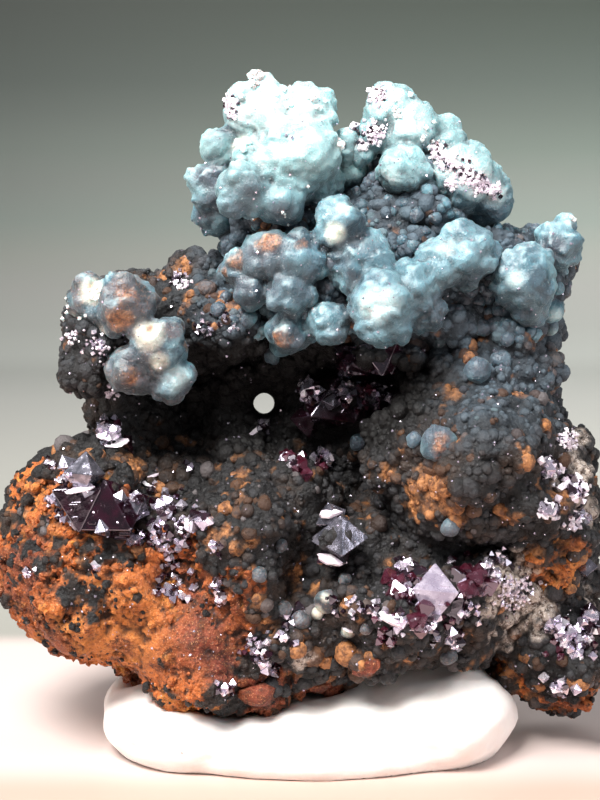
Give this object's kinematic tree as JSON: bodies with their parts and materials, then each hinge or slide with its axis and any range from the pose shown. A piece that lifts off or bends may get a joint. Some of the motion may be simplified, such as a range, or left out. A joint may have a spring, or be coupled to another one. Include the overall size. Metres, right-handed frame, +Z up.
{
  "type": "cuprite mineral specimen",
  "caption": "Cuprite crystals on rust-brown gossan rock with a black and blue-green grape-like crust, standing upright on a flattened wad of white putty.",
  "frame": {"origin": "middle of the putty's flat underside, on the surface that the specimen stands on", "axes": "+Z up, the specimen's display side with the dark hollow faces -Y, +X to its right as seen from the front"},
  "size_m": [0.0372, 0.0198, 0.0386],
  "materials": {
    "gossan": "matte",
    "blue_crust": "satin",
    "cuprite": "polished",
    "putty": "matte"
  },
  "bodies": {
    "root": {"matrix": "gossan", "blue_cap_left": "blue_crust", "blue_cap_right": "blue_crust", "blue_ridge": "blue_crust", "blue_knob_right": "blue_crust", "blue_arm_left": "blue_crust", "cuprite_left": "cuprite", "cuprite_cavity": "cuprite", "cuprite_hanging": "cuprite", "cuprite_centre": "cuprite", "cuprite_silver": "cuprite", "cuprite_right_edge": "cuprite", "cuprite_neck": "cuprite", "putty": "putty"}
  },
  "joints": []
}
